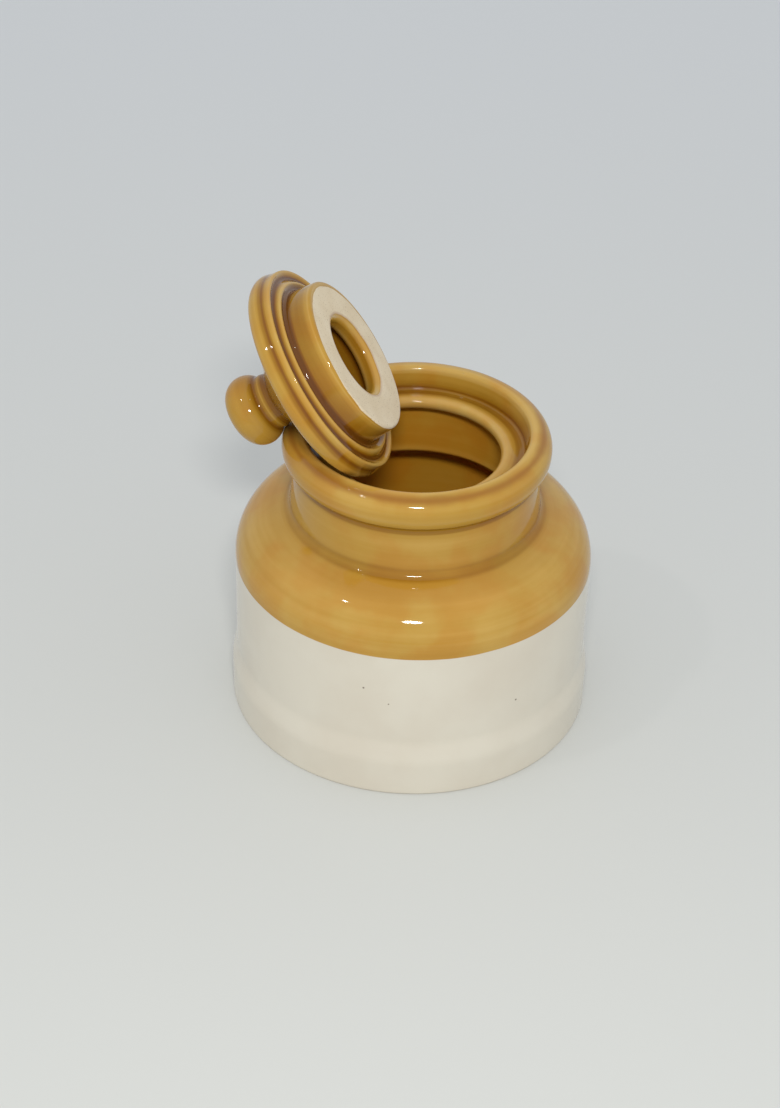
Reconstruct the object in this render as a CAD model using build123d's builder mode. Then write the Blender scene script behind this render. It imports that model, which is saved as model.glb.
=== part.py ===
from build123d import *
import os
from math import acos, cos, degrees, hypot, pi, radians, sin, sqrt, tan

# Water seal pickle jar in glazed stoneware, with its lid leaning in the open mouth.
# Millimetres. The origin is the middle of the flat base, +Z is up, and the lid leans towards -X.

# Jar body: a plain thrown cup with a thicker band round its foot
base_radius = 69.6
base_edge_round = 0.8
foot_height = 17.6
foot_step = 1.6
foot_step_height = 3.0
foot_step_round = 4.0
body_height = 63.5
wall_thickness = 6.5
floor_thickness = 8.0
floor_corner_round = 8.0

# Shoulder and neck, luted on top of the body at the glaze line
shoulder_side_height = 13.06
shoulder_slope = 24.0
shoulder_thickness = 6.5
shoulder_round = 19.5
neck_foot_radius = 47.3
neck_foot_round = 3.5
neck_height = 17.0
neck_taper = 1.4
neck_wall = 5.7
neck_bore_round = 2.0

# Rim ring, outwards and upwards from the ring's joint with the neck: first the rolled lip
lip_cove_height = 2.5
lip_cove_round = 2.5
lip_under_height = 3.1
lip_under_round = 6.5
lip_overhang = 4.3
lip_height = 10.8
lip_round = 6.8
lip_width = 7.7
lip_inner_rise = 0.7
lip_inner_round = 1.6

# Inwards from the lip: the gutter's outer side, its floor, its slope up to the ledge, and the ledge
gutter_side_width = 2.2
gutter_side_height = 9.4
gutter_floor_width = 2.3
gutter_corner_round = 1.2
gutter_blend_round = 4.0
gutter_slope_width = 3.4
gutter_depth = 1.3
ledge_width = 3.2
ledge_thickness = 4.0
ledge_nose_round = 2.3
ledge_root_height = 0.9

# Lid cover, from the plug's flat face towards the knob: plug, two beads, flange and dome
plug_clearance = 0.4
plug_taper = 1.2
plug_edge_round = 0.7
seat_bead_height = 9.25
seat_bead_round = 1.0
plug_cove_depth = 1.9
plug_cove_round = 1.2
gutter_bead_rise = 1.95
gutter_bead_width = 1.3
gutter_bead_round = 0.65
bead_hollow = 1.9
bead_hollow_round = 2.5
flange_clearance = 1.3
flange_bead_step = 0.5
flank_hollow = 0.9
flank_hollow_round = 2.0
flange_flank_height = 4.5
flange_edge_round = 1.0
flange_thickness = 6.5
flange_round = 5.7
flange_roll_width = 6.6
dome_foot_round = 3.0
dome_slope = 24.5
dome_thickness = 5.5
dome_crown_round = 6.0
knob_seat_radius = 12.0

# The bare ring round the lid's hole, and the hollow behind it
bare_ring_width = 15.2
bare_ring_thickness = 7.0
hole_edge_round = 3.0
hollow_undercut = 9.4
hollow_corner_round = 3.0
hollow_shoulder_round = 5.0

# Knob: a flattened ball on a short stem with one ring round it
knob_radius = 13.6
knob_belly_round = 7.5
stem_radius = 10.2
stem_height = 2.6
stem_ring_step = 0.8
stem_ring_height = 3.5
stem_ring_round = 0.7

# Rest: the lid leans this many degrees below level, its knob outside the lip and its flange inside
lid_lean = 34.6
rest_gap = 0.3

# The most of a straight run that the rounds at its two ends may take
rounded_share = 0.98


# The two runs that leave one corner of a closed outline
def corner_runs(points, i):
    corner = Vector(*points[i])
    before = Vector(*points[i - 1]) - corner
    after = Vector(*points[(i + 1) % len(points)]) - corner
    return before, after


# Half the angle between those two runs
def half_corner(points, i):
    before, after = corner_runs(points, i)
    return radians(before.get_angle(after) / 2)


# The rounds of an outline's corners, eased where a run is too short for the two that share it
def eased_rounds(points, wanted):
    taken = [radius / tan(half_corner(points, i)) for i, radius in enumerate(wanted)]
    rounds = []
    for i, radius in enumerate(wanted):
        ease = 1
        before, after = corner_runs(points, i)
        for run, other in ((before, taken[i - 1]), (after, taken[(i + 1) % len(points)])):
            if radius > 0 and taken[i] + other > run.length * rounded_share:
                ease = min(ease, run.length * rounded_share / (taken[i] + other))
        rounds.append(radius * ease)
    return rounds


# The radius of the arc that rounds one corner, and its middle
def round_at(points, rounds, corner):
    i = points.index(corner)
    before, after = corner_runs(points, i)
    inwards = (before.normalized() + after.normalized()).normalized()
    return rounds[i], Vector(*corner) + inwards * (rounds[i] / sin(half_corner(points, i)))


os.makedirs("parts", exist_ok=True)

# Jar body
wall_radius = base_radius - foot_step
bore_radius = wall_radius - wall_thickness
body_outline = [
    (0, 0),
    (base_radius, 0),
    (base_radius, foot_height),
    (wall_radius, foot_height + foot_step_height),
    (wall_radius, body_height),
    (bore_radius, body_height),
    (bore_radius, floor_thickness),
    (0, floor_thickness),
]
body_rounds = [0, base_edge_round, foot_step_round, foot_step_round, 0, 0, floor_corner_round, 0]
with BuildPart() as jar_body:
    with BuildSketch(Plane.XZ):
        with BuildLine():
            FilletPolyline(*body_outline, radius=eased_rounds(body_outline, body_rounds), close=True)
        make_face()
    revolve(axis=Axis.Z)
jar_body.part.label = "jar_body"
export_step(jar_body.part, "parts/jar_body.step")

# Jar shoulder: the slope is the same inside and outside, one wall apart
slope_rise = tan(radians(shoulder_slope))
shoulder_drop = shoulder_thickness / cos(radians(shoulder_slope))
shoulder_corner_height = body_height + shoulder_side_height
neck_foot_height = shoulder_corner_height + (wall_radius - neck_foot_radius) * slope_rise
neck_top_radius = neck_foot_radius - neck_taper
neck_bore_radius = neck_top_radius - neck_wall
inner_corner_height = neck_foot_height - shoulder_drop - (bore_radius - neck_foot_radius) * slope_rise
neck_mouth_height = neck_foot_height - shoulder_drop + (neck_foot_radius - neck_bore_radius) * slope_rise
rim_foot = neck_foot_height + neck_height
shoulder_outline = [
    (wall_radius, body_height),
    (wall_radius, shoulder_corner_height),
    (neck_foot_radius, neck_foot_height),
    (neck_top_radius, rim_foot),
    (neck_bore_radius, rim_foot),
    (neck_bore_radius, neck_mouth_height),
    (bore_radius, inner_corner_height),
    (bore_radius, body_height),
]
shoulder_inner_round = shoulder_round - shoulder_thickness
shoulder_rounds = [0, shoulder_round, neck_foot_round, 0, 0, neck_bore_round, shoulder_inner_round, 0]
with BuildPart() as jar_shoulder:
    with BuildSketch(Plane.XZ):
        with BuildLine():
            FilletPolyline(
                *shoulder_outline, radius=eased_rounds(shoulder_outline, shoulder_rounds), close=True
            )
        make_face()
    revolve(axis=Axis.Z)
jar_shoulder.part.label = "jar_shoulder"
export_step(jar_shoulder.part, "parts/jar_shoulder.step")

# Jar rim: rolled lip outside, shallow water gutter, and the ledge that overhangs the neck's bore
lip_radius = neck_top_radius + lip_overhang
lip_inner_radius = lip_radius - lip_width
gutter_outer_radius = lip_inner_radius - gutter_side_width
gutter_inner_radius = gutter_outer_radius - gutter_floor_width
ledge_crest_radius = gutter_inner_radius - gutter_slope_width
ledge_inner_radius = ledge_crest_radius - ledge_width
lip_cove_top = rim_foot + lip_cove_height
lip_under_top = lip_cove_top + lip_under_height
lip_roll_top = lip_under_top + lip_height
gutter_floor_top = lip_roll_top - gutter_side_height
ledge_top = gutter_floor_top + gutter_depth
roll_corner = (lip_radius, lip_roll_top)
edge_corner = (lip_inner_radius, lip_roll_top + lip_inner_rise)
rim_outline = [
    (neck_bore_radius, rim_foot),
    (neck_top_radius, rim_foot),
    (neck_top_radius, lip_cove_top),
    (lip_radius, lip_under_top),
    roll_corner,
    edge_corner,
    (gutter_outer_radius, gutter_floor_top),
    (gutter_inner_radius, gutter_floor_top),
    (ledge_crest_radius, ledge_top),
    (ledge_inner_radius, ledge_top),
    (ledge_inner_radius, ledge_top - ledge_thickness),
    (neck_bore_radius, rim_foot + ledge_root_height),
]
rim_rounds = eased_rounds(
    rim_outline,
    [
        0,
        0,
        lip_cove_round,
        lip_under_round,
        lip_round,
        lip_inner_round,
        gutter_corner_round,
        gutter_blend_round,
        gutter_blend_round,
        ledge_nose_round,
        ledge_nose_round,
        0,
    ],
)
with BuildPart() as jar_rim:
    with BuildSketch(Plane.XZ):
        with BuildLine():
            FilletPolyline(*rim_outline, radius=rim_rounds, close=True)
        make_face()
    revolve(axis=Axis.Z)
jar_rim.part.label = "jar_rim"
export_step(jar_rim.part, "parts/jar_rim.step")

# Lid cover: the plug drops inside the ledge, one bead sits on the ledge and one dips in the gutter
plug_radius = ledge_inner_radius - plug_clearance
seat_bead_radius = (ledge_inner_radius + ledge_nose_round + ledge_crest_radius) / 2
flange_radius = lip_inner_radius - flange_clearance
gutter_bead_radius = flange_radius - flange_bead_step
gutter_bead_inside = gutter_bead_radius - gutter_bead_width
plug_face_radius = plug_radius - plug_taper
hole_radius = plug_face_radius - bare_ring_width
hollow_radius = hole_radius + hollow_undercut
dome_foot_radius = flange_radius - flange_roll_width
gutter_bead_height = seat_bead_height + gutter_bead_rise
flange_flank_top = gutter_bead_height + flange_flank_height
flange_top = flange_flank_top + flange_thickness
dome_rise = tan(radians(dome_slope))
dome_top = flange_top + (dome_foot_radius - knob_seat_radius) * dome_rise
crown_height = dome_top - dome_thickness
hollow_side_height = crown_height - (hollow_radius - knob_seat_radius) * dome_rise
flange_corner = (flange_radius, flange_top)
cover_outline = [
    (hole_radius, 0),
    (plug_face_radius, 0),
    (plug_radius, seat_bead_height + plug_cove_depth),
    (seat_bead_radius, seat_bead_height),
    ((seat_bead_radius + gutter_bead_radius) / 2, gutter_bead_height + bead_hollow),
    (gutter_bead_inside, gutter_bead_height),
    (gutter_bead_radius, gutter_bead_height),
    (gutter_bead_radius - flank_hollow, (gutter_bead_height + flange_flank_top) / 2),
    (flange_radius, flange_flank_top),
    flange_corner,
    (dome_foot_radius, flange_top),
    (knob_seat_radius, dome_top),
    (0, dome_top),
    (0, crown_height),
    (knob_seat_radius, crown_height),
    (hollow_radius, hollow_side_height),
    (hollow_radius, bare_ring_thickness),
    (hole_radius, bare_ring_thickness),
]
cover_rounds = eased_rounds(
    cover_outline,
    [
        hole_edge_round,
        plug_edge_round,
        plug_cove_round,
        seat_bead_round,
        bead_hollow_round,
        gutter_bead_round,
        gutter_bead_round,
        flank_hollow_round,
        flange_edge_round,
        flange_round,
        dome_foot_round,
        dome_crown_round,
        0,
        0,
        dome_crown_round,
        hollow_shoulder_round,
        hollow_corner_round,
        hole_edge_round,
    ],
)

# Knob: its belly arc stands out from the lid's axis by the knob's radius less the arc's own
knob_foot = dome_top
stem_top = knob_foot + stem_height
ring_top = stem_top + stem_ring_height
belly_offset = knob_radius - knob_belly_round
stem_half_width = stem_radius - belly_offset
belly_height = ring_top + sqrt(knob_belly_round**2 - stem_half_width**2)
knob_top = belly_height + knob_belly_round

# The leaning pose. In the middle plane the knob's belly keeps the rest gap to the lip's roll at
# any angle round it, and the angle used is the one that leaves the flange the same gap inside.
lid_axis = Vector(-cos(radians(lid_lean)), 0, -sin(radians(lid_lean)))
lid_across = Vector(sin(radians(lid_lean)), 0, -cos(radians(lid_lean)))
roll_round, lip_roll = round_at(rim_outline, rim_rounds, roll_corner)
edge_round, lip_edge = round_at(rim_outline, rim_rounds, edge_corner)
ring_round, flange_ring = round_at(cover_outline, cover_rounds, flange_corner)
search_steps = 720
halvings = 40


def leaning_origin(angle):
    reach = knob_belly_round + roll_round + rest_gap
    belly = Vector(-lip_roll.X, 0, lip_roll.Y) + Vector(cos(angle), 0, sin(angle)) * reach
    return belly - lid_across * belly_offset - lid_axis * belly_height


def flange_room(origin):
    middle = origin + lid_axis * flange_ring.Y
    rooms = []
    for step in range(search_steps):
        angle = pi * step / search_steps
        outwards = lid_across * cos(angle) + Vector(0, 1, 0) * sin(angle)
        point = middle + outwards * flange_ring.X
        rooms.append(hypot(hypot(point.X, point.Y) - lip_edge.X, point.Z - lip_edge.Y))
    return min(rooms) - ring_round - edge_round - rest_gap


upper_angle = pi / 2
lower_angle = pi
for _ in range(halvings):
    knob_angle = (upper_angle + lower_angle) / 2
    if flange_room(leaning_origin(knob_angle)) > 0:
        upper_angle = knob_angle
    else:
        lower_angle = knob_angle
lid_origin = leaning_origin(knob_angle)
lid_section = Plane(origin=lid_origin, x_dir=lid_across, z_dir=(0, 1, 0))
lid_turn = Axis(lid_origin, lid_axis)
print("lid origin", lid_origin, "room at the flange", flange_room(lid_origin))

with BuildPart() as lid_cover:
    with BuildSketch(lid_section):
        with BuildLine():
            FilletPolyline(*cover_outline, radius=cover_rounds, close=True)
        make_face()
    revolve(axis=lid_turn)
lid_cover.part.label = "lid_cover"
export_step(lid_cover.part, "parts/lid_cover.step")

# Lid knob: stem, ring and ball, revolved from one outline
stem_outline = [
    (0, knob_foot),
    (stem_radius, knob_foot),
    (stem_radius, stem_top),
    (stem_radius + stem_ring_step, (stem_top + ring_top) / 2),
    (stem_radius, ring_top),
]
stem_rounds = eased_rounds(stem_outline, [0, 0, stem_ring_round, stem_ring_round, 0])
with BuildPart() as lid_knob:
    with BuildSketch(lid_section):
        with BuildLine():
            FilletPolyline(*stem_outline, radius=stem_rounds[1:-1])
            below = acos(stem_half_width / knob_belly_round)
            belly_middle = (belly_offset, belly_height)
            CenterArc(belly_middle, knob_belly_round, -degrees(below), degrees(pi / 2 + below))
            Polyline((belly_offset, knob_top), (0, knob_top), (0, knob_foot))
        make_face()
    revolve(axis=lid_turn)
lid_knob.part.label = "lid_knob"
export_step(lid_knob.part, "parts/lid_knob.step")
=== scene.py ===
import math

import bpy
from mathutils import Matrix, Vector
from mathutils.kdtree import KDTree


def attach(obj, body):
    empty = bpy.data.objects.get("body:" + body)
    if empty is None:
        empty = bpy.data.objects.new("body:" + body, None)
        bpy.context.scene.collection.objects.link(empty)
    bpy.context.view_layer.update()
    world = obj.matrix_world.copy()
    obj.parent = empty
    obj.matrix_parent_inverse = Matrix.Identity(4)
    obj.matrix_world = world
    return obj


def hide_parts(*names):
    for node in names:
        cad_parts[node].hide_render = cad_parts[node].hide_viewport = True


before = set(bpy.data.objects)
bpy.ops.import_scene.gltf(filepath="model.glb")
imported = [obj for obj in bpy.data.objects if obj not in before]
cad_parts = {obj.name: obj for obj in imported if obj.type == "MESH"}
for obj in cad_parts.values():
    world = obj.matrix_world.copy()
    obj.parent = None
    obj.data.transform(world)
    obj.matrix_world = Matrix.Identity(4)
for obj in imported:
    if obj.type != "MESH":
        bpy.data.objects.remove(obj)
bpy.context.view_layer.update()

# Water seal pickle jar: every piece is thrown round the Z axis from its own outline, as on a wheel.
# All lengths are metres, and the lid's pieces are thrown upright and then leaned into the mouth.

potting = {
    "segments": 224,          # facets round a pot
    "arcStep": 0.00055,       # longest step along a round
    "arcTurn": 0.16,          # widest turn of one step, in radians
    "fewestSteps": 2,         # along a round
    "runStep": 0.0022,        # longest step along a straight run
    "weldDistance": 0.000002,
    "sharpAngle": 52,         # degrees, edges sharper than this stay crisp
    "rippleSize": 0.022,      # the hand's unevenness in the wall
    "rippleDetail": 1,
    "rippleDepth": 0.00022,
    "rippleStart": 0.01,      # it grows over this height, so that what a pot was set down on stays flat
}


# An outline's corners are (radius, height, round); the rounds come back as short steps
def roundedOutline(corners, closed):
    points = []
    for i, (radius, height, rounding) in enumerate(corners):
        corner = Vector((radius, height))
        if rounding == 0:
            points.append(corner)
            continue
        before = (Vector(corners[i - 1][:2]) - corner).normalized()
        after = (Vector(corners[(i + 1) % len(corners)][:2]) - corner).normalized()
        half = before.angle(after) / 2
        middle = corner + (before + after).normalized() * (rounding / math.sin(half))
        start = corner + before * (rounding / math.tan(half)) - middle
        turn = math.pi - 2 * half
        turn *= 1 if before.x * after.y - before.y * after.x < 0 else -1
        arcSteps, turnSteps = abs(turn) * rounding / potting["arcStep"], abs(turn) / potting["arcTurn"]
        steps = math.ceil(max(arcSteps, turnSteps, potting["fewestSteps"]))
        first = math.atan2(start.y, start.x)
        for step in range(steps + 1):
            angle = first + turn * step / steps
            points.append(middle + Vector((math.cos(angle), math.sin(angle))) * rounding)
    if closed:
        points.append(points[0])
    even = [points[0]]
    for point in points[1:]:
        begin = even[-1]
        run = point - begin
        parts = math.ceil(run.length / potting["runStep"])
        if run.length > potting["weldDistance"]:
            even.extend(begin + run * part / parts for part in range(1, parts + 1))
    return even


# One loose point is pulled along the outline, step by step, and the line is spun round the wheel
def throwPot(name, outline):
    bpy.ops.object.select_all(action="DESELECT")
    bpy.ops.mesh.primitive_plane_add(size=outline[0].length + potting["runStep"])
    pot = bpy.context.object
    pot.name = name
    pot.data.name = name
    bpy.ops.object.mode_set(mode="EDIT")
    bpy.ops.mesh.select_mode(type="VERT")
    bpy.ops.mesh.select_all(action="SELECT")
    bpy.ops.mesh.merge(type="CENTER")
    bpy.ops.transform.translate(value=(outline[0].x, 0, outline[0].y))
    for here, there in zip(outline, outline[1:]):
        pull = (there.x - here.x, 0, there.y - here.y)
        bpy.ops.mesh.extrude_region_move(TRANSFORM_OT_translate={"value": pull})
    bpy.ops.mesh.select_all(action="SELECT")
    bpy.ops.mesh.remove_doubles(threshold=potting["weldDistance"])
    bpy.ops.mesh.spin(steps=potting["segments"], angle=2 * math.pi, center=(0, 0, 0), axis=(0, 0, 1))
    bpy.ops.mesh.select_all(action="SELECT")
    bpy.ops.mesh.remove_doubles(threshold=potting["weldDistance"])
    bpy.ops.mesh.normals_make_consistent(inside=False)
    bpy.ops.object.mode_set(mode="OBJECT")
    print("thrown", name, len(pot.data.polygons), "faces")
    return pot


def selectOnly(pot):
    bpy.ops.object.select_all(action="DESELECT")
    pot.select_set(True)
    bpy.context.view_layer.objects.active = pot


# The hand's slight unevenness, which bends the reflections
def unevenWall(pot):
    clouds = bpy.data.textures.get("handUnevenness") or bpy.data.textures.new("handUnevenness", "CLOUDS")
    clouds.noise_scale = potting["rippleSize"]
    clouds.noise_depth = potting["rippleDetail"]
    selectOnly(pot)
    wall = pot.vertex_groups.new(name="wall")
    for i, point in enumerate(pot.data.vertices):
        wall.add([i], min(1, max(0, point.co.z / potting["rippleStart"])), "REPLACE")
    ripple = pot.modifiers.new("ripple", "DISPLACE")
    ripple.vertex_group = wall.name
    ripple.texture = clouds
    ripple.texture_coords = "LOCAL"
    ripple.strength = potting["rippleDepth"]
    bpy.ops.object.modifier_apply(modifier=ripple.name)
    pot.vertex_groups.clear()
    bpy.ops.object.shade_smooth_by_angle(angle=math.radians(potting["sharpAngle"]))


# The jar's body: a cup with a foot band, which fades into the wall over a soft step
bodySizes = {
    "baseRadius": 0.0696, "baseRound": 0.0008,
    "footHeight": 0.0150, "footStep": 0.0016, "footRise": 0.0085, "footRound": 0.02,
    "top": 0.0635, "wall": 0.0065, "floor": 0.008, "floorRound": 0.008,
}


def bodyCorners(body):
    wallRadius = body["baseRadius"] - body["footStep"]
    bore = wallRadius - body["wall"]
    return [
        (0, 0, 0),
        (body["baseRadius"], 0, body["baseRound"]),
        (body["baseRadius"], body["footHeight"], body["footRound"]),
        (wallRadius, body["footHeight"] + body["footRise"], body["footRound"]),
        (wallRadius, body["top"], 0),
        (bore, body["top"], 0),
        (bore, body["floor"], body["floorRound"]),
        (0, body["floor"], 0),
    ]


# The shoulder curves in over the body and rises into the short neck
shoulderSizes = {
    "sideHeight": 0.01306, "slope": 24, "thickness": 0.0065, "round": 0.0195,
    "neckFootRadius": 0.0473, "creaseRound": 0.0035,
    "neckHeight": 0.017, "neckTaper": 0.0014, "boreRadius": 0.0402, "boreRound": 0.002,
}


def shoulderCorners(shoulder, body):
    wallRadius, bore = bodyCorners(body)[4][0], bodyCorners(body)[5][0]
    slope = math.tan(math.radians(shoulder["slope"]))
    drop = shoulder["thickness"] / math.cos(math.radians(shoulder["slope"]))
    side, footRadius = body["top"] + shoulder["sideHeight"], shoulder["neckFootRadius"]
    foot = side + (wallRadius - footRadius) * slope
    mouth = foot - drop + (footRadius - shoulder["boreRadius"]) * slope
    neckTop = foot + shoulder["neckHeight"]
    return [
        (wallRadius, body["top"], 0),
        (wallRadius, side, shoulder["round"]),
        (footRadius, foot, shoulder["creaseRound"]),
        (footRadius - shoulder["neckTaper"], neckTop, 0),
        (shoulder["boreRadius"], neckTop, 0),
        (shoulder["boreRadius"], mouth, shoulder["boreRound"]),
        (bore, foot - drop - (bore - footRadius) * slope, shoulder["round"] - shoulder["thickness"]),
        (bore, body["top"], 0),
    ]


# The rim: a rolled lip outside, then the water gutter, then the ledge that overhangs the neck
rimSizes = {
    "lipRadius": 0.0503, "lipRise": 0.0161, "lipTilt": 0.0006, "lipRound": 0.0066,
    "lipInner": 0.0419, "lipInnerRound": 0.0018,
    "coveRise": 0.0025, "coveRound": 0.0025, "underRise": 0.0056, "underRound": 0.0065,
    "gutterOuter": 0.0403, "gutterInner": 0.038, "gutterRise": 0.0075, "gutterRound": 0.0012,
    "blendRound": 0.004, "ledgeCrest": 0.0346, "ledgeInner": 0.0314, "ledgeRise": 0.0083,
    "ledgeDepth": 0.004, "noseRound": 0.0023, "ledgeRoot": 0.0009,
}


def rimCorners(rim, neck):
    neckTop, foot, _ = neck[3]
    bore = neck[4][0]
    lip, ledge = foot + rim["lipRise"], foot + rim["ledgeRise"]
    return [
        (bore, foot, 0),
        (neckTop, foot, 0),
        (neckTop, foot + rim["coveRise"], rim["coveRound"]),
        (rim["lipRadius"], foot + rim["underRise"], rim["underRound"]),
        (rim["lipRadius"], lip, rim["lipRound"]),
        (rim["lipInner"], lip + rim["lipTilt"], rim["lipInnerRound"]),
        (rim["gutterOuter"], foot + rim["gutterRise"], rim["gutterRound"]),
        (rim["gutterInner"], foot + rim["gutterRise"], rim["blendRound"]),
        (rim["ledgeCrest"], ledge, rim["blendRound"]),
        (rim["ledgeInner"], ledge, rim["noseRound"]),
        (rim["ledgeInner"], ledge - rim["ledgeDepth"], rim["noseRound"]),
        (bore, foot + rim["ledgeRoot"], 0),
    ]


# The hollow cover, from its bare face: plug, seat bead, hollow, gutter bead, flank, flange and dome
coverSizes = {
    "holeRadius": 0.0146, "holeDepth": 0.007, "holeRound": 0.003, "edgeRound": 0.0012,
    "plugRadius": 0.031, "plugTaper": 0.0012, "plugHeight": 0.01115, "plugRound": 0.0012,
    "seatBead": 0.03415, "seatHeight": 0.00925, "seatRound": 0.001,
    "hollowRadius": 0.0369, "hollowHeight": 0.0124, "hollowRound": 0.0020,
    "gutterBead": 0.0399, "gutterHeight": 0.0107, "beadWidth": 0.0010, "beadRound": 0.0005,
    "flank": 0.0403, "flankHeight": 0.0136, "flankRound": 0.004, "flankTop": 0.0163, "flankEdge": 0.001,
    "flangeRadius": 0.0410, "flangeTop": 0.0206, "flangeRound": 0.0038,
    "domeFoot": 0.0346, "domeFootRound": 0.004, "domeTop": 0.0325, "domeWall": 0.0055,
    "crownRound": 0.006, "knobSeat": 0.012,
    "insideRadius": 0.024, "insideCorner": 0.003, "insideShoulder": 0.005,
    "lean": 34.6, "faceMiddle": (-0.0231286, 0, 0.149725),
}


def coverCorners(cover):
    slope = (cover["domeTop"] - cover["flangeTop"]) / (cover["domeFoot"] - cover["knobSeat"])
    crown = cover["domeTop"] - cover["domeWall"]
    insideTop = crown - (cover["insideRadius"] - cover["knobSeat"]) * slope
    return [
        (cover["holeRadius"], 0, cover["holeRound"]),
        (cover["plugRadius"] - cover["plugTaper"], 0, cover["edgeRound"]),
        (cover["plugRadius"], cover["plugHeight"], cover["plugRound"]),
        (cover["seatBead"], cover["seatHeight"], cover["seatRound"]),
        (cover["hollowRadius"], cover["hollowHeight"], cover["hollowRound"]),
        (cover["gutterBead"] - cover["beadWidth"], cover["gutterHeight"], cover["beadRound"]),
        (cover["gutterBead"], cover["gutterHeight"], cover["beadRound"]),
        (cover["flank"], cover["flankHeight"], cover["flankRound"]),
        (cover["flangeRadius"], cover["flankTop"], cover["flankEdge"]),
        (cover["flangeRadius"], cover["flangeTop"], cover["flangeRound"]),
        (cover["domeFoot"], cover["flangeTop"], cover["domeFootRound"]),
        (cover["knobSeat"], cover["domeTop"], cover["crownRound"]),
        (0, cover["domeTop"], 0),
        (0, crown, 0),
        (cover["knobSeat"], crown, cover["crownRound"]),
        (cover["insideRadius"], insideTop, cover["insideShoulder"]),
        (cover["insideRadius"], cover["holeDepth"], cover["insideCorner"]),
        (cover["holeRadius"], cover["holeDepth"], cover["holeRound"]),
    ]


# The lid's own frame: its underside faces up and out of the mouth, its knob points down behind
def leaningFrame(cover):
    lean = math.radians(cover["lean"])
    axis = Vector((-math.cos(lean), 0, -math.sin(lean)))
    across = Vector((math.sin(lean), 0, -math.cos(lean)))
    turned = Matrix((across, axis.cross(across), axis)).transposed().to_4x4()
    return Matrix.Translation(cover["faceMiddle"]) @ turned


def leanPot(pot, place):
    selectOnly(pot)
    pot.matrix_world = place
    bpy.ops.object.transform_apply(location=True, rotation=True, scale=True)


# The knob: a flared stem, a slight ring, a shallow groove and a round ball
knobSizes = {
    "radius": 0.0136, "bellyRound": 0.0075, "bellyFoot": 0.0114,
    "stemRadius": 0.0102, "stemHeight": 0.0026, "footFlare": 0.0012, "flareRound": 0.0012,
    "ringStep": 0.0004, "ringHeight": 0.0035, "ringRound": 0.0011,
    "grooveStep": 0.0003, "grooveRise": 0.0001, "grooveRound": 0.0010,
}


def knobCorners(knob, foot):
    offset = knob["radius"] - knob["bellyRound"]
    stemTop = foot + knob["stemHeight"]
    ringTop = stemTop + knob["ringHeight"]
    middle = ringTop + math.sqrt(knob["bellyRound"] ** 2 - (knob["stemRadius"] - offset) ** 2)
    first = -math.acos((knob["bellyFoot"] - offset) / knob["bellyRound"])
    steps = math.ceil((math.pi / 2 - first) * knob["bellyRound"] / potting["arcStep"])
    belly = []
    for step in range(steps + 1):
        angle = first + (math.pi / 2 - first) * step / steps
        out, rise = knob["bellyRound"] * math.cos(angle), knob["bellyRound"] * math.sin(angle)
        belly.append((offset + out, middle + rise, 0))
    return [
        (0, foot, 0),
        (knob["stemRadius"] + knob["footFlare"], foot, 0),
        (knob["stemRadius"], foot + knob["footFlare"], knob["flareRound"]),
        (knob["stemRadius"], stemTop, knob["ringRound"]),
        (knob["stemRadius"] + knob["ringStep"], (stemTop + ringTop) / 2, knob["ringRound"]),
        (knob["stemRadius"] + knob["grooveStep"], ringTop + knob["grooveRise"], knob["grooveRound"]),
        *belly,
        (0, middle + knob["bellyRound"], 0),
    ]


# Molten glaze runs off the ridges and gathers in the hollows
glazing = {
    "reach": 0.0030,          # how far it runs along the wall
    "reachSteps": 22,
    "fullHollow": 0.00048,    # a hollow this deep over that reach is as dark as it gets
    "thinnest": -0.8,         # and a ridge not quite as sharp is as pale as it gets
    "blendPoints": 3,
    "pooledAndShadedFlank": 0.0391,  # glaze gathers under the flange's edge as in a hollow this far in, further in than the flank itself: glaze pooling plus painted shade
}


# How deep the glaze lies at each step of an outline
def glazeDepths(skin, closed):
    line = roundedOutline(skin, closed)
    tree = KDTree(len(line))
    area = sum(a.x * b.y - b.x * a.y for a, b in zip(line, line[1:] + line[:1]))
    outwards = 1 if area > 0 else -1
    depths = []
    for i, point in enumerate(line):
        weight, gathered = 0, Vector((0, 0))
        for j in range(i - glazing["reachSteps"], i + glazing["reachSteps"] + 1):
            other = line[min(max(j, 0), len(line) - 1)]
            share = max(0, 1 - ((other - point).length / glazing["reach"]) ** 2)
            gathered += other * share
            weight += share
        along = line[min(i + 1, len(line) - 1)] - line[max(i - 1, 0)]
        normal = Vector((along.y, -along.x)).normalized() * outwards
        hollow = (gathered / weight - point).dot(normal) / glazing["fullHollow"]
        depths.append(max(glazing["thinnest"], min(1, hollow)))
        tree.insert((point.x, 0, point.y), i)
    tree.balance()
    return tree, depths


# Each point of a pot takes the depth of the skin beside it
def poolGlaze(pot, skinDepths):
    tree, depths = skinDepths
    layer = pot.data.attributes.new("glazeDepth", "FLOAT", "POINT")
    for i, point in enumerate(pot.data.vertices):
        radius = math.hypot(point.co.x, point.co.y)
        nearest = tree.find_n((radius, 0, point.co.z), glazing["blendPoints"])
        weights = [1 / (distance + potting["weldDistance"]) for _, _, distance in nearest]
        depth = sum(depths[index] * weight for (_, index, _), weight in zip(nearest, weights))
        layer.data[i].value = depth / sum(weights)


# Small helpers for the finishes, whose values are numbers, colours or the outputs of other nodes
def newFinish(name):
    finish = bpy.data.materials.new(name)
    finish.use_nodes = True
    return finish, finish.node_tree


def wire(graph, socket, value):
    if isinstance(value, bpy.types.NodeSocket):
        graph.links.new(value, socket)
    else:
        socket.default_value = value


def coat(graph, values):
    for name, value in values.items():
        wire(graph, graph.nodes["Principled BSDF"].inputs[name], value)


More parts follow.
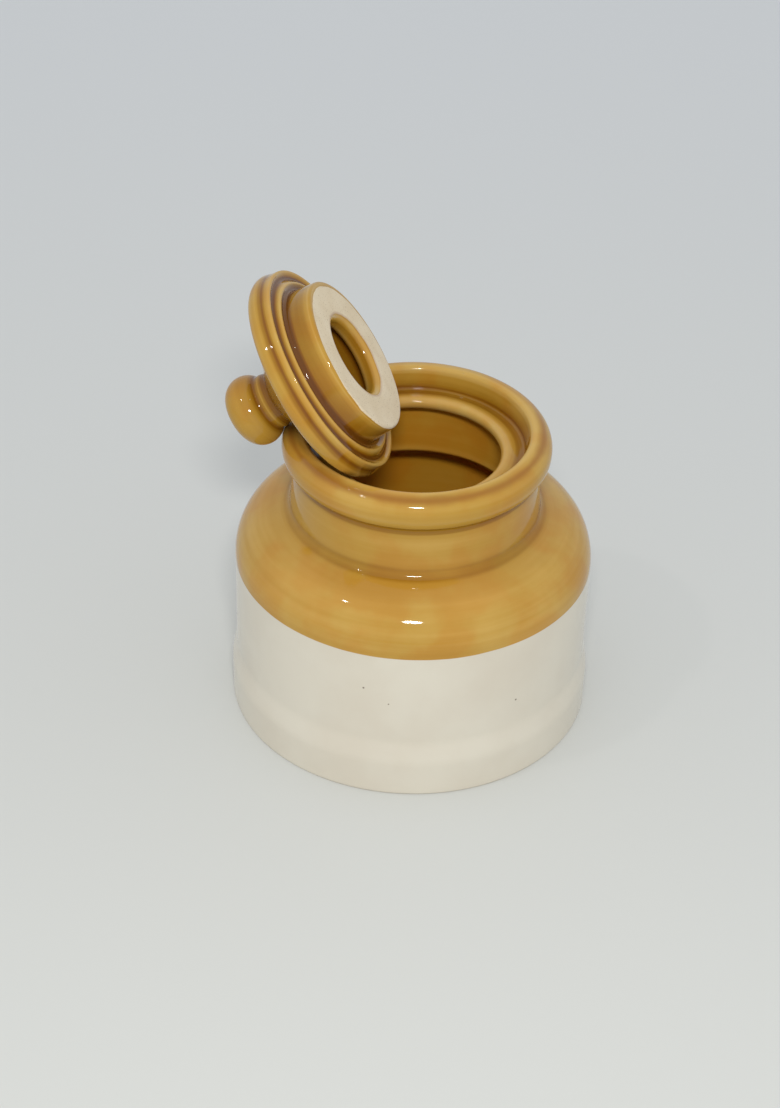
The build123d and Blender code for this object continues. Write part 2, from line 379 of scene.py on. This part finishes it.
def reckon(graph, operation, first, second=0.0, third=0.0, clamp=False):
    node = graph.nodes.new("ShaderNodeMath")
    node.operation = operation
    node.use_clamp = clamp
    for socket, value in zip(node.inputs, (first, second, third)):
        wire(graph, socket, value)
    return node.outputs[0]


def vectorReckon(graph, operation, first, second):
    node = graph.nodes.new("ShaderNodeVectorMath")
    node.operation = operation
    wire(graph, node.inputs[0], first)
    wire(graph, node.inputs[1], second)
    return node.outputs["Value"]


# A soft step from 0 to 1, and the step down from 1 at an edge
def fade(graph, value, low, high):
    node = graph.nodes.new("ShaderNodeMapRange")
    node.interpolation_type = "SMOOTHSTEP"
    wire(graph, node.inputs["Value"], value)
    wire(graph, node.inputs["From Min"], low)
    wire(graph, node.inputs["From Max"], high)
    return node.outputs["Result"]


def below(graph, value, edge, blur):
    return reckon(graph, "SUBTRACT", 1, fade(graph, value, edge, edge + blur))


def blend(graph, share, first, second, how="MIX"):
    node = graph.nodes.new("ShaderNodeMix")
    node.data_type = "RGBA"
    node.blend_type = how
    wire(graph, node.inputs["Factor"], share)
    wire(graph, node.inputs["A"], first)
    wire(graph, node.inputs["B"], second)
    return node.outputs["Result"]


def noise(graph, place, scale, detail, stretch=(1, 1, 1)):
    mapping = graph.nodes.new("ShaderNodeMapping")
    mapping.inputs["Scale"].default_value = stretch
    graph.links.new(place, mapping.inputs["Vector"])
    node = graph.nodes.new("ShaderNodeTexNoise")
    node.inputs["Scale"].default_value = scale
    node.inputs["Detail"].default_value = detail
    graph.links.new(mapping.outputs["Vector"], node.inputs["Vector"])
    return node.outputs["Fac"]


# A colour for each share; a new stop starts halfway and then moves to its own place
def ramp(graph, share, stops):
    node = graph.nodes.new("ShaderNodeValToRGB")
    node.color_ramp.interpolation = "EASE"
    while len(node.color_ramp.elements) < len(stops):
        node.color_ramp.elements.new(0.5)
    for element, (position, colour) in zip(node.color_ramp.elements, stops):
        element.position = position
        element.color = (*colour, 1)
    graph.links.new(share, node.inputs["Fac"])
    return node.outputs["Color"]


def relief(graph, height, depth=1, strength=1):
    bump = graph.nodes.new("ShaderNodeBump")
    bump.inputs["Strength"].default_value = strength
    bump.inputs["Distance"].default_value = depth
    graph.links.new(height, bump.inputs["Height"])
    return bump.outputs["Normal"]


def pooledDepth(graph):
    pool = graph.nodes.new("ShaderNodeAttribute")
    pool.attribute_name = "glazeDepth"
    return pool.outputs["Fac"]


def apart(graph, place):
    node = graph.nodes.new("ShaderNodeSeparateXYZ")
    graph.links.new(place, node.inputs["Vector"])
    return node.outputs["X"], node.outputs["Y"], node.outputs["Z"]


# A pot's own coordinates: the jar stands upright, the lid's are turned back to its wheel
def potPlace(graph, leaning=None):
    place = graph.nodes.new("ShaderNodeTexCoord").outputs["Object"]
    if leaning is not None:
        back = graph.nodes.new("ShaderNodeMapping")
        back.vector_type = "TEXTURE"
        back.inputs["Location"].default_value = leaning.to_translation()
        back.inputs["Rotation"].default_value = leaning.to_euler("XYZ")
        graph.links.new(place, back.inputs["Vector"])
        place = back.outputs["Vector"]
    x, y, height = apart(graph, place)
    radius = reckon(graph, "MULTIPLY_ADD", x, x, reckon(graph, "MULTIPLY", y, y))
    return place, reckon(graph, "SQRT", radius), height


# Honey glaze: pale where it runs thin on a ridge, brown where it gathers in a hollow
honey = {
    "colours": [
        (0.00, (0.64, 0.44, 0.145)),
        (0.26, (0.57, 0.355, 0.085)),
        (0.48, (0.46, 0.260, 0.037)),
        (0.70, (0.32, 0.158, 0.011)),
        (0.88, (0.22, 0.086, 0.005)),
        (1.00, (0.15, 0.054, 0.006)),
    ],
    # the inside's colours are a lighter, warmer copy of the honey ramp: painted light standing in for the
    # light that reaches into the jar
    "insidePaintedLightColours": [
        (0.20, (0.68, 0.37, 0.050)),
        (0.60, (0.58, 0.27, 0.018)),
        (1.00, (0.30, 0.11, 0.005)),
    ],
    "jarDepth": 0.43, "rimDepth": 0.53, "lidDepth": 0.65, "insideDepth": 0.46, "poolShare": 0.44,
    "cloudScale": 26, "cloudDetail": 4, "cloudShare": 0.26,
    "bandScale": 1, "bandDetail": 3, "bandStretch": (14, 14, 420), "bandShare": 0.16,
    "blushScale": 48, "blushDetail": 3, "blushEdge": (0.42, 0.62), "blushShare": 0.8,
    "blushColour": (0.98, 0.84, 0.66),
    "breakRadius": 0.0468, "breakHeight": 0.1182, "breakWidth": 0.0050,
    "breakWander": 60, "breakDetail": 3,
    "breakShare": 0.7, "breakFade": (0.0, 0.045), "breakColour": (0.27, 0.095, 0.010),
    "roughness": 0.055, "ior": 1.42,
    "peelScale": 420, "peelDetail": 2, "peelStrength": 0.2, "peelDepth": 0.00004,
}


def honeyColour(graph, place, plainDepth, colours):
    cloud = noise(graph, place, honey["cloudScale"], honey["cloudDetail"])
    band = noise(graph, place, honey["bandScale"], honey["bandDetail"], honey["bandStretch"])
    depth = reckon(graph, "MULTIPLY_ADD", pooledDepth(graph), honey["poolShare"], plainDepth)
    depth = reckon(graph, "MULTIPLY_ADD", cloud, honey["cloudShare"], depth)
    depth = reckon(graph, "MULTIPLY_ADD", band, honey["bandShare"], depth)
    evenShare = (honey["cloudShare"] + honey["bandShare"]) / 2
    depth = reckon(graph, "SUBTRACT", depth, evenShare, clamp=True)
    # here and there it blushes orange
    blush = noise(graph, place, honey["blushScale"], honey["blushDetail"])
    blush = reckon(graph, "MULTIPLY", fade(graph, blush, *honey["blushEdge"]), honey["blushShare"])
    return blend(graph, blush, ramp(graph, depth, colours), (*honey["blushColour"], 1), "MULTIPLY")


def glazePeel(graph, place):
    return noise(graph, place, honey["peelScale"], honey["peelDetail"])


def coatGlaze(graph, place, colour, roughness):
    peel = relief(graph, glazePeel(graph, place), honey["peelDepth"], honey["peelStrength"])
    coat(graph, {"Base Color": colour, "Roughness": roughness, "IOR": honey["ior"], "Normal": peel})


def honeyGlaze(name, plainDepth, colours):
    finish, graph = newFinish(name)
    place, radius, height = potPlace(graph)
    colour = honeyColour(graph, place, plainDepth, colours)
    # the glaze breaks red-brown along the crest of the lip, less at the back
    across = reckon(graph, "SUBTRACT", radius, honey["breakRadius"])
    up = reckon(graph, "SUBTRACT", height, honey["breakHeight"])
    away = reckon(graph, "MULTIPLY_ADD", across, across, reckon(graph, "MULTIPLY", up, up))
    away = reckon(graph, "SQRT", away)
    wander = noise(graph, place, honey["breakWander"], honey["breakDetail"])
    width = reckon(graph, "MULTIPLY", wander, honey["breakWidth"])
    line = reckon(graph, "SUBTRACT", 1, fade(graph, away, 0.0, width))
    _, backward, _ = apart(graph, place)
    share = reckon(graph, "SUBTRACT", honey["breakShare"], fade(graph, backward, *honey["breakFade"]))
    line = reckon(graph, "MULTIPLY", line, share)
    colour = blend(graph, line, colour, (*honey["breakColour"], 1))
    coatGlaze(graph, place, colour, honey["roughness"])
    return finish


# Bare clay: buff and speckled, with a rough grain, and on the lid a ring that the glaze creeps over
clay = {
    "colours": [(0.30, (0.70, 0.58, 0.40)), (0.70, (0.76, 0.65, 0.47))],
    "mottleScale": 90, "mottleDetail": 4,
    "fleckScale": 1600, "fleckDetail": 2, "fleckEdge": (0.62, 0.72), "fleckColour": (0.36, 0.26, 0.15),
    "grainScale": 1500, "grainDetail": 4, "grainDepth": 0.00006, "roughness": 0.92,
    "faceDepth": 0.0006, "edgeBlur": 0.0002, "creep": 0.0012, "creepScale": 110, "creepDetail": 4,
    "faceEdge": 0.0286, "creepWay": (0.030, 0.026, 0),
    "holeEdge": 0.0164, "haloWidth": 0.0014, "haloShare": 0.5, "haloColour": (0.36, 0.20, 0.12),
}


def clayColour(graph, place):
    mottle = noise(graph, place, clay["mottleScale"], clay["mottleDetail"])
    fleck = noise(graph, place, clay["fleckScale"], clay["fleckDetail"])
    fleck = fade(graph, fleck, *clay["fleckEdge"])
    return blend(graph, fleck, ramp(graph, mottle, clay["colours"]), (*clay["fleckColour"], 1))


def clayGrain(graph, place):
    return noise(graph, place, clay["grainScale"], clay["grainDetail"])


def bareClay(name):
    finish, graph = newFinish(name)
    place = potPlace(graph)[0]
    grain = relief(graph, clayGrain(graph, place), clay["grainDepth"])
    coat(graph, {"Base Color": clayColour(graph, place), "Roughness": clay["roughness"], "Normal": grain})
    return finish


# The lid is honey glazed all over but for the bare ring on its plug, wiped clean before firing
def lidGlaze(name, leaning):
    finish, graph = newFinish(name)
    place, radius, height = potPlace(graph, leaning)
    glaze = honeyColour(graph, place, honey["lidDepth"], honey["colours"])
    # the ring's border wanders, and the glaze creeps further over it on one side
    creep = noise(graph, place, clay["creepScale"], clay["creepDetail"])
    creep = reckon(graph, "MULTIPLY_ADD", creep, clay["creep"], -clay["creep"] / 2)
    low = reckon(graph, "ADD", height, creep)
    inner = reckon(graph, "ADD", radius, creep)
    outer = reckon(graph, "SUBTRACT", inner, vectorReckon(graph, "DOT_PRODUCT", place, clay["creepWay"]))
    under = below(graph, low, clay["faceDepth"], clay["edgeBlur"])
    within = below(graph, outer, clay["faceEdge"], clay["edgeBlur"])
    beyond = fade(graph, inner, clay["holeEdge"], clay["holeEdge"] + clay["edgeBlur"])
    bare = reckon(graph, "MULTIPLY", under, reckon(graph, "MULTIPLY", beyond, within), clamp=True)
    # a brown halo lies on the clay where it meets the glaze of the hole
    halo = below(graph, inner, clay["holeEdge"], clay["haloWidth"])
    halo = reckon(graph, "MULTIPLY", halo, clay["haloShare"])
    ring = blend(graph, halo, clayColour(graph, place), (*clay["haloColour"], 1))
    roughSpan = clay["roughness"] - honey["roughness"]
    rough = reckon(graph, "MULTIPLY_ADD", bare, roughSpan, honey["roughness"])
    # the glaze's peel and the clay's grain, in metres
    peelDepth = honey["peelDepth"] * honey["peelStrength"]
    skin = reckon(graph, "MULTIPLY", glazePeel(graph, place), peelDepth)
    bareGrain = reckon(graph, "MULTIPLY", bare, clayGrain(graph, place))
    skin = reckon(graph, "MULTIPLY_ADD", bareGrain, clay["grainDepth"], skin)
    coat(graph, {"Base Color": blend(graph, bare, glaze, ring), "Roughness": rough,
                 "IOR": honey["ior"], "Normal": relief(graph, skin)})
    return finish


# Cream glaze with a few iron specks, under the honey's wandering lower edge
cream = {
    "colours": [(0.30, (0.67, 0.61, 0.50)), (0.70, (0.71, 0.66, 0.55))],
    "mottleScale": 30, "mottleDetail": 4, "roughness": 0.07,
    "poolShare": 0.25, "poolColour": (0.60, 0.52, 0.38),
    "edge": 0.0634, "edgeBlur": 0.0003, "edgeWander": 55, "edgeDetail": 3, "edgeSwing": 0.0005,
    "speckColour": (0.10, 0.06, 0.035),
    # degrees round from the front towards +X, height, size, strength
    "specks": [(-14, 0.048, 0.0005, 0.8), (-6, 0.042, 0.0004, 0.7), (36, 0.036, 0.0005, 0.8),
               (5, 0.017, 0.0004, 0.6), (-9, 0.013, 0.0004, 0.6), (-15, 0.010, 0.0004, 0.6)],
}


def creamGlaze(name, wallRadius):
    finish, graph = newFinish(name)
    place, _, height = potPlace(graph)
    mottle = noise(graph, place, cream["mottleScale"], cream["mottleDetail"])
    colour = ramp(graph, mottle, cream["colours"])
    gathered = reckon(graph, "MULTIPLY", pooledDepth(graph), cream["poolShare"], clamp=True)
    colour = blend(graph, gathered, colour, (*cream["poolColour"], 1))
    for degrees, rise, size, strength in cream["specks"]:
        turn = math.radians(degrees)
        middle = (wallRadius * math.sin(turn), -wallRadius * math.cos(turn), rise)
        gap = vectorReckon(graph, "DISTANCE", place, middle)
        speck = reckon(graph, "MULTIPLY", below(graph, gap, size / 2, size / 2), strength)
        colour = blend(graph, speck, colour, (*cream["speckColour"], 1))
    wander = noise(graph, place, cream["edgeWander"], cream["edgeDetail"])
    edge = reckon(graph, "MULTIPLY_ADD", wander, cream["edgeSwing"], height)
    over = fade(graph, edge, cream["edge"], cream["edge"] + cream["edgeBlur"])
    colour = blend(graph, over, colour, honeyColour(graph, place, honey["jarDepth"], honey["colours"]))
    coatGlaze(graph, place, colour, cream["roughness"])
    return finish


# The outlines, each on the one below it, and the glaze over the whole jar and the whole lid
body, shoulder = bodyCorners(bodySizes), shoulderCorners(shoulderSizes, bodySizes)
rim, cover = rimCorners(rimSizes, shoulder), coverCorners(coverSizes)
knob = knobCorners(knobSizes, coverSizes["domeTop"])
jarDepths = glazeDepths(body[:4] + shoulder[1:3] + rim[2:] + shoulder[5:7] + body[6:], False)
# the lid's glaze depths come from an outline whose flank lies deeper than the cover's own, so beside real
# glaze pooling they paint shade under the flange's edge
gathering = coverCorners({**coverSizes, "flank": glazing["pooledAndShadedFlank"]})
lidDepths = glazeDepths(gathering[:12] + knob[2:] + gathering[13:], True)
print("glaze depths along the skins", len(jarDepths[1]), len(lidDepths[1]))

leaning = leaningFrame(coverSizes)
honeyFinish = honeyGlaze("honeyGlaze", honey["jarDepth"], honey["colours"])
rimFinish = honeyGlaze("rimGlaze", honey["rimDepth"], honey["colours"])
insideFinish = honeyGlaze("insideGlaze", honey["insideDepth"], honey["insidePaintedLightColours"])
creamFinish = creamGlaze("creamGlaze", body[4][0])
clayFinish = bareClay("bareClay")
lidFinish = lidGlaze("lidGlaze", leaning)
print("finishes mixed")

# Where one finish gives way to the next
dressing = {
    "bareHeight": 0.0002,     # the base is bare up to here
    "levelRise": 0.9,         # a face that points up as much as this is level
}


def facesOut(face):
    return face.center.x * face.normal.x + face.center.y * face.normal.y > 0


# The body is cream outside and bare under its base. Inside and over its floor it is honey glazed, in a
# lighter, warmer copy of the honey glaze: painted light standing in for the light that reaches into the
# jar
def bodyFinish(face):
    if face.center.z < dressing["bareHeight"]:
        return 2
    overFloor = face.center.z >= bodySizes["floor"] and face.normal.z >= dressing["levelRise"]
    return 0 if facesOut(face) and not overFloor else 1


# The shoulder's inside takes the same lighter, warmer copy of the honey glaze as the body's inside,
# painted light for the jar's inside
def shoulderFinish(face):
    return 0 if facesOut(face) else 1


pots = [
    {"name": "jarBody", "corners": body, "closed": False, "depths": jarDepths,
     "finishes": [creamFinish, insideFinish, clayFinish], "choose": bodyFinish,
     "rides": "jar", "replaces": "jar_body", "slot": "cream_glaze"},
    {"name": "jarShoulder", "corners": shoulder, "closed": True, "depths": jarDepths,
     "finishes": [honeyFinish, insideFinish], "choose": shoulderFinish,
     "rides": "jar", "replaces": "jar_shoulder", "slot": "honey_glaze"},
    {"name": "jarRim", "corners": rim, "closed": True, "depths": jarDepths, "finishes": [rimFinish],
     "rides": "jar", "replaces": "jar_rim", "slot": "honey_glaze"},
    {"name": "lidCover", "corners": cover, "closed": True, "depths": lidDepths, "finishes": [lidFinish],
     "rides": "lid", "replaces": "lid_cover", "slot": "honey_glaze"},
    {"name": "lidKnob", "corners": knob, "closed": False, "depths": lidDepths, "finishes": [lidFinish],
     "rides": "lid", "replaces": "lid_knob", "slot": "honey_glaze"},
]
for piece in pots:
    pot = throwPot(piece["name"], roundedOutline(piece["corners"], piece["closed"]))
    poolGlaze(pot, piece["depths"])
    for finish in piece["finishes"]:
        pot.data.materials.append(finish)
    if "choose" in piece:
        for face in pot.data.polygons:
            face.material_index = piece["choose"](face)
    unevenWall(pot)
    if piece["rides"] == "lid":
        leanPot(pot, leaning)
    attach(pot, piece["rides"])
    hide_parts(piece["replaces"])
    print("finished", piece["name"])

# Floor, air, lamps and camera
stage = {
    "floorSize": 8, "floorNear": (0.63, 0.635, 0.60), "floorFar": (0.72, 0.735, 0.74),
    "floorFade": (-0.3, 0.9), "floorRoughness": 0.5, "floorSpecular": 0.2,
    "airColour": (0.93, 0.96, 1.0), "airStrength": 0.74, "backdropColour": (0.645, 0.665, 0.68),
    "target": (0, 0, 0.1),
}
lamps = {
    "flash": {"width": 0.16, "height": 0.07, "radiance": 142, "distance": 0.95, "turn": 1.5, "rise": 41,
              "colour": (1, 0.99, 0.97)},
    "ceiling": {"width": 0.044, "height": 0.044, "radiance": 125, "distance": 1.3, "turn": -60, "rise": 56,
                "colour": (1, 0.98, 0.95)},
}
eye = {
    "place": (-0.0013, -0.7445, 0.6038), "yaw": -0.58, "pitch": 36.11, "roll": 1.66,
    "focalPixels": 2400, "photoHeight": 1108, "sensor": 36,
}

bpy.ops.object.select_all(action="DESELECT")
bpy.ops.mesh.primitive_plane_add(size=stage["floorSize"], location=(0, 0, 0))
floor = bpy.context.object
floor.name = "floor"
paint, graph = newFinish("floorPaint")
floor.data.materials.append(paint)
_, backward, _ = apart(graph, graph.nodes.new("ShaderNodeTexCoord").outputs["Object"])
distance = fade(graph, backward, *stage["floorFade"])
coat(graph, {
    "Base Color": blend(graph, distance, (*stage["floorNear"], 1), (*stage["floorFar"], 1)),
    "Roughness": stage["floorRoughness"], "Specular IOR Level": stage["floorSpecular"],
})

# The air lights the jar, and the backdrop is what the lens and the glaze's reflections see
world = bpy.data.worlds.new("air")
bpy.context.scene.world = world
world.use_nodes = True
graph = world.node_tree
air = graph.nodes["Background"]
air.inputs["Color"].default_value = (*stage["airColour"], 1)
air.inputs["Strength"].default_value = stage["airStrength"]
backdrop = graph.nodes.new("ShaderNodeBackground")
backdrop.inputs["Color"].default_value = (*stage["backdropColour"], 1)
rays = graph.nodes.new("ShaderNodeLightPath")
seen = reckon(graph, "ADD", rays.outputs["Is Camera Ray"], rays.outputs["Is Glossy Ray"])
seen = reckon(graph, "ADD", seen, rays.outputs["Is Transmission Ray"], clamp=True)
choice = graph.nodes.new("ShaderNodeMixShader")
graph.links.new(seen, choice.inputs["Fac"])
graph.links.new(air.outputs["Background"], choice.inputs[1])
graph.links.new(backdrop.outputs["Background"], choice.inputs[2])
graph.links.new(choice.outputs["Shader"], graph.nodes["World Output"].inputs["Surface"])

for name, lamp in lamps.items():
    light = bpy.data.lights.new(name, "AREA")
    light.shape = "ELLIPSE"
    light.size, light.size_y = lamp["width"], lamp["height"]
    light.color = lamp["colour"]
    area = math.pi * lamp["width"] * lamp["height"] / 4
    light.energy = math.pi * area * lamp["radiance"]
    holder = bpy.data.objects.new(name, light)
    bpy.context.scene.collection.objects.link(holder)
    turn, rise = math.radians(lamp["turn"]), math.radians(lamp["rise"])
    way = Vector((math.sin(turn) * math.cos(rise), -math.cos(turn) * math.cos(rise), math.sin(rise)))
    holder.location = Vector(stage["target"]) + way * lamp["distance"]
    holder.rotation_euler = way.to_track_quat("Z", "Y").to_euler()

lens = bpy.data.cameras.new("eye")
lens.sensor_width = eye["sensor"]
lens.lens = eye["sensor"] * eye["focalPixels"] / eye["photoHeight"]
camera = bpy.data.objects.new("eye", lens)
bpy.context.scene.collection.objects.link(camera)
yaw, pitch, roll = (math.radians(eye[key]) for key in ("yaw", "pitch", "roll"))
ahead = Vector((math.sin(yaw) * math.cos(pitch), math.cos(yaw) * math.cos(pitch), -math.sin(pitch)))
right = Vector((math.cos(yaw), -math.sin(yaw), 0))
up = right.cross(ahead)
tiltedRight = right * math.cos(roll) + up * math.sin(roll)
tiltedUp = up * math.cos(roll) - right * math.sin(roll)
turned = Matrix((tiltedRight, tiltedUp, -ahead)).transposed().to_4x4()
camera.matrix_world = Matrix.Translation(eye["place"]) @ turned
bpy.context.scene.camera = camera
bpy.context.scene.view_settings.view_transform = "Standard"
print("floor, lamps and camera set")
